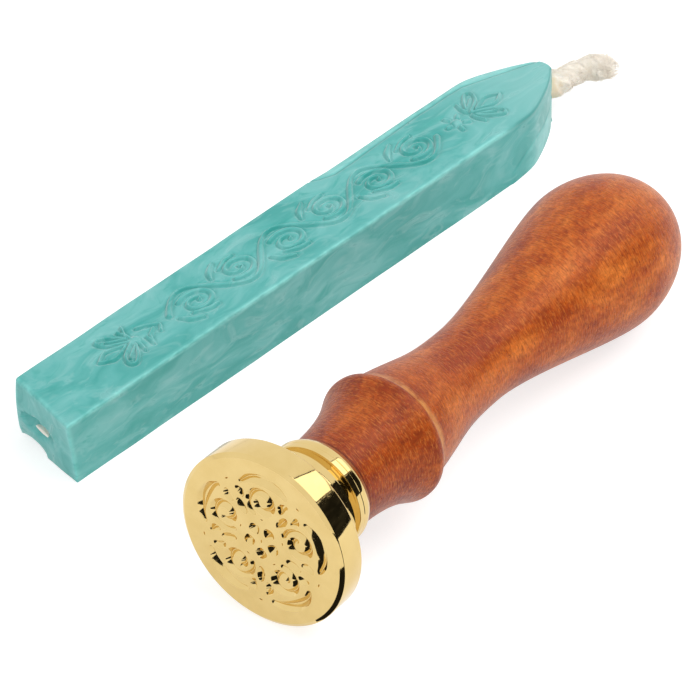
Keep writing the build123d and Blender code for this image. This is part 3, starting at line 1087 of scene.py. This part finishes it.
# ---- the wick
# Its middle line, as (along, across, height, half thickness): from a flattened tuft in the butt's pocket,
# through the stick, to a soft cut end.
WICK_ROUTE = (
    (0.90, 1.05, 4.1, 1.45), (1.7, 0.85, 4.15, 1.40), (2.8, 0.4, 4.4, 1.10),
    *((station, 0.0, 4.8, 1.0) for station in (4.0, 6.0, 10.0, 20.0, 50.0, 80.0, 92.0, 96.5, 99.0)),
    (100.8, 0.0, 4.8, 1.2), (102.3, -0.1, 4.8, 1.70), (103.8, -0.25, 4.85, 1.80), (105.4, -0.4, 4.9, 1.62),
    (107.1, -0.85, 5.0, 1.52), (108.5, -1.5, 5.2, 1.62), (109.5, -2.4, 5.4, 1.82), (110.05, -3.4, 5.55, 1.75),
    (110.2, -4.3, 5.65, 1.38), (110.33, -4.9, 5.7, 0.75),
)
FREE_FROM = 102.0
YARNS = 4
YARN_PITCH = 8.0
WICK_SIDES = 72
ROUTE_STEPS = 14

route = smooth_line(WICK_ROUTE, lambda here, after: ROUTE_STEPS)
route_end = len(route) - 1


def route_frame(place):
    """The middle, the thickness and the directions of the wick at a place along its route's points."""
    place = max(0.0, min(route_end - 0.001, place))
    before = int(place)
    here, after = route[before], route[before + 1]
    share = place - before
    middle = Vector(here[:3]).lerp(Vector(after[:3]), share)
    ahead = (Vector(route[min(before + 2, route_end)][:3]) - Vector(route[max(before - 1, 0)][:3])).normalized()
    sideways = ahead.cross(Vector((0, 0, 1))).normalized()
    return middle, here[3] + (after[3] - here[3]) * share, ahead, sideways, sideways.cross(ahead)


def wick_point(place, angle, lift=0.0):
    """A point on the wick's fluffy skin, or lifted off it."""
    middle, thick, _, sideways, upward = route_frame(place)
    free = clamp(middle.x - FREE_FROM)
    flat = clamp(3.6 - middle.x)
    wound = angle * YARNS + 2 * math.pi * YARNS * middle.x / YARN_PITCH
    twist = 0.035 * math.cos(wound) - 0.03 * max(0.0, math.cos(wound + math.pi)) ** 6
    turned = angle + middle.x * 0.5
    lumps = 0.13 * noise.noise(Vector((middle.x / 1.5, math.cos(angle) * 0.9, math.sin(angle) * 0.9 + 3)))
    wool = 0.06 * noise.noise(Vector((middle.x / 0.5, math.cos(turned) * 2.6, math.sin(turned) * 2.6)))
    radius = thick * (1 + free * (twist + lumps + wool)) + lift
    return middle + (sideways * math.cos(angle) + upward * math.sin(angle) * (1 - 0.75 * flat)) * radius


def twisted_wick():
    """A cylinder ruled into many rings, each of which is then carried to its place on the wick."""
    bpy.ops.mesh.primitive_cylinder_add(
        vertices=WICK_SIDES, radius=MM, depth=route_end * MM, end_fill_type="TRIFAN",
        location=stick_origin + Vector((route_end / 2 * MM, 0, 0)), rotation=(0, math.radians(90), 0),
    )
    piece = start_editing("twisted_wick")
    bpy.ops.mesh.select_mode(type="EDGE")
    cut_across(piece, Vector((1, 0, 0)), (6, route_end // 7 - 1))
    bpy.ops.mesh.select_mode(type="VERT")
    bpy.ops.object.mode_set(mode="OBJECT")
    for vertex in piece.data.vertices:
        place, across, upward = (vertex.co - stick_origin) / MM
        if math.hypot(across, upward) < 0.5:
            middle, thick, ahead, _, _ = route_frame(place)
            moved = middle + ahead * (0.35 * thick if place > 1 else -0.1)
        else:
            moved = wick_point(place, math.atan2(upward, across))
        vertex.co = stick_origin + MM * moved
    piece.data.update()
    smooth_below(piece, 80)
    return piece


def tube(mesh, centres, radii, sides):
    """Add a closed tube along a list of points."""
    rings = []
    for index, centre in enumerate(centres):
        ahead = (centres[min(index + 1, len(centres) - 1)] - centres[max(index - 1, 0)]).normalized()
        sideways = ahead.cross(Vector((0.13, 0.21, 0.97))).normalized()
        upward = sideways.cross(ahead)
        rings.append([
            mesh.verts.new(stick_origin + MM * (centre + radii[index] * (
                sideways * math.cos(2 * math.pi * k / sides) + upward * math.sin(2 * math.pi * k / sides))))
            for k in range(sides)
        ])
    join_rings(mesh, rings)


FUZZ_COUNT = 1100
FRAY_COUNT = 150
FUZZ_RADIUS = 0.03
FUZZ_STEPS = 5
FRAY_LIMIT = 111.72  # no loose fibre reaches further along


def wick_fuzz():
    """Loose fibres that lie on the free end of the wick, curl off it, and stand out at its cut end."""
    mesh = bmesh.new()
    free_from = next(index for index, point in enumerate(route) if point[0] > FREE_FROM + 0.4)
    for number in range(FUZZ_COUNT + FRAY_COUNT):
        fray = number >= FUZZ_COUNT
        start = random.uniform(*((route_end - 22, route_end - 3) if fray else (free_from, route_end - 8)))
        turn = random.uniform(0, 2 * math.pi)
        reach = random.uniform(5, 15)
        lift = random.uniform(0.05, 0.35) if random.random() < 0.25 else random.uniform(0.0, 0.10)
        wind = random.uniform(-0.7, 0.3)
        out = random.uniform(0.3, 1.0)
        centres = []
        for step in range(FUZZ_STEPS + 1):
            t = step / FUZZ_STEPS
            place = start + reach * t
            point = wick_point(place, turn + wind * t, 0.015 + lift * math.sin(math.pi * min(1.0, t * 1.2)))
            if fray:
                _, _, ahead, _, _ = route_frame(place)
                point += ahead * out * t * t + Vector((0, 0, random.uniform(-0.05, 0.08) * t))
                point.x = min(point.x, FRAY_LIMIT)
            centres.append(point)
        radii = [FUZZ_RADIUS * (1 - 0.5 * abs(2 * step / FUZZ_STEPS - 1)) for step in range(FUZZ_STEPS + 1)]
        tube(mesh, centres, radii, 3)
    return new_piece("wick_fuzz", mesh)


twisted = twisted_wick()
dress(twisted, cotton, "cotton", "wax", "wick")
fuzz = wick_fuzz()
smooth_below(fuzz, 80)
dress(fuzz, cotton, "cotton", "wax", "wick")
# The head mirrors the table and the lights alone, and not the stick beside it.
for obj in (wax_stick, twisted, fuzz):
    obj.visible_glossy = False


# ---- table, light and reflections
def seen_directly(tree):
    """1 for rays from the camera, and for those that metal and glass send on."""
    path = add_node(tree, "ShaderNodeLightPath")
    glossy = calculate("MAXIMUM", path.outputs["Is Camera Ray"], path.outputs["Is Glossy Ray"])
    return calculate("MAXIMUM", glossy, path.outputs["Is Transmission Ray"])


def plane(name, size, place, turn, material):
    """A flat sheet of the studio: (width, height) about its middle."""
    bpy.ops.mesh.primitive_plane_add(size=1, location=place, rotation=turn)
    sheet = bpy.context.object
    sheet.name = name
    sheet.scale = (*size, 1)
    sheet.data.materials.append(material)
    return sheet


def only_in_reflections(sheet):
    sheet.visible_camera = False
    sheet.visible_diffuse = False
    sheet.visible_shadow = False
    sheet.visible_transmission = False


def stage_material(name):
    """An empty material for something of the studio, with the node that its surface is wired to."""
    material, tree, shader = node_material(name)
    tree.nodes.remove(shader)
    return material, tree, tree.nodes["Material Output"]


AMBIENT = 0.61  # the light that comes from all round


def white_table():
    material, tree, output = stage_material("white_table")
    seen = seen_directly(tree)
    diffuse = add_node(tree, "ShaderNodeBsdfDiffuse", Color=ramp(seen, (0.0, 0.84), (1.0, 0.50)))
    to_camera = add_node(tree, "ShaderNodeLightPath").outputs["Is Camera Ray"]
    camera_only = calculate("MULTIPLY", to_camera, 0.09)
    strength = calculate("ADD", calculate("MULTIPLY", seen, AMBIENT), camera_only)
    glow = add_node(tree, "ShaderNodeEmission", Strength=strength)
    both = add_node(tree, "ShaderNodeAddShader")
    wire(both, 0, diffuse.outputs[0])
    wire(both, 1, glow.outputs[0])
    wire(output, "Surface", both.outputs[0])
    plane("table", (6, 6), (0, 0, 0), (0, 0, 0), material)


def studio_world():
    """An even white light all round, which is brighter where it is seen directly."""
    world = bpy.data.worlds.new("studio")
    scene.world = world
    world.use_nodes = True
    tree = world.node_tree
    direct = calculate("MULTIPLY", seen_directly(tree), 0.44)
    wire_all(tree.nodes["Background"], Color=(1, 1, 1, 1), Strength=calculate("ADD", direct, AMBIENT))


def area_lamp(name, place, target, size, brightness):
    """A lamp of (width, height) that faces its target and that polish doesn't mirror."""
    data = bpy.data.lights.new(name, "AREA")
    data.shape = "RECTANGLE"
    data.size, data.size_y = size
    data.energy = brightness * math.pi * data.size * data.size_y
    lamp = bpy.data.objects.new(name, data)
    scene.collection.objects.link(lamp)
    lamp.location = place
    lamp.rotation_euler = (Vector(target) - Vector(place)).to_track_quat("-Z", "Y").to_euler()
    lamp.visible_glossy = False
    return lamp


def strip_softbox():
    """A long softbox above the seal, behind it to the right: a lamp, and the lit cloth that polish mirrors."""
    place = (0.50, -0.32, 0.76)
    lamp = area_lamp("strip_softbox", place, (0.50, 0, 0), (1.2, 0.50), 2.75)
    material, tree, output = stage_material("softbox_cloth")
    spread = shader_coordinates(tree, "Generated")
    edges = [
        calculate("GREATER_THAN", away_from(part_of(spread, axis), 0.5), 0.5 - border)
        for axis, border in (("X", 0.022), ("Y", 0.05))
    ]
    strength = ramp(calculate("MAXIMUM", *edges), (0.0, 1.0), (1.0, 0.06))
    cloth = add_node(tree, "ShaderNodeEmission", Color=strength, Strength=2.0)
    wire(output, "Surface", cloth.outputs[0])
    only_in_reflections(plane("softbox_cloth", (1.27, 0.56), place, lamp.rotation_euler, material))


def dark_sheet_glow(spread):
    """The faint glow of a dark sheet in an unlit part of the studio."""
    weave = ramp(noise_at(spread, 9, 2), (0.4, 0.012), (0.7, 0.03))
    return add_node(weave, "ShaderNodeEmission", Color=weave, Strength=1.0).outputs[0]


def dark_curtain():
    """The unlit front of the studio and the outline of what stands there, only seen in reflections."""
    material, tree, output = stage_material("dark_cloth")
    spread = shader_coordinates(tree, "Generated")
    skyline = calculate("MULTIPLY", noise_at(spread, 14, 3, 0.6), 0.45)
    above = calculate("SUBTRACT", part_of(spread, "Y"), skyline)
    either = add_node(tree, "ShaderNodeMixShader", Fac=calculate("GREATER_THAN", above, 0.70))
    wire(either, 1, dark_sheet_glow(spread))
    wire(either, 2, add_node(tree, "ShaderNodeBsdfTransparent").outputs[0])
    wire(output, "Surface", either.outputs[0])
    turn = (math.radians(90), 0, 0)
    only_in_reflections(plane("dark_curtain", (2.4, 0.74), (0.55, -0.62, 0.37), turn, material))


# The outline of the dark sheet on the table, in front of the seal and to its left, and its height above the
# table.
CARD_OUTLINE = (
    (-57, -26), (-74.6, -26), (-74.6, -52), (-107, -80), (-145, -110), (-284, -205), (-500, -345), (-500, -600),
    (-57, -600),
)
CARD_HEIGHT = 0.3


def dark_card():
    """A dark sheet lying on the table, which only the chamfer and the steep cuts of the face mirror."""
    material, tree, output = stage_material("dark_card")
    wire(output, "Surface", dark_sheet_glow(shader_coordinates(tree, "Object")))
    mesh = bmesh.new()
    mesh.faces.new([mesh.verts.new((x * MM, y * MM, CARD_HEIGHT * MM)) for x, y in CARD_OUTLINE])
    sheet = new_piece("dark_card", mesh)
    sheet.data.materials.append(material)
    only_in_reflections(sheet)


white_table()
studio_world()
strip_softbox()
# A weak, wide lamp on the left, for the sides that face away from the softbox.
area_lamp("soft_fill", (-0.90, -0.35, 0.45), (0, 0, 0), (0.8, 0.8), 1.15)
dark_curtain()
dark_card()
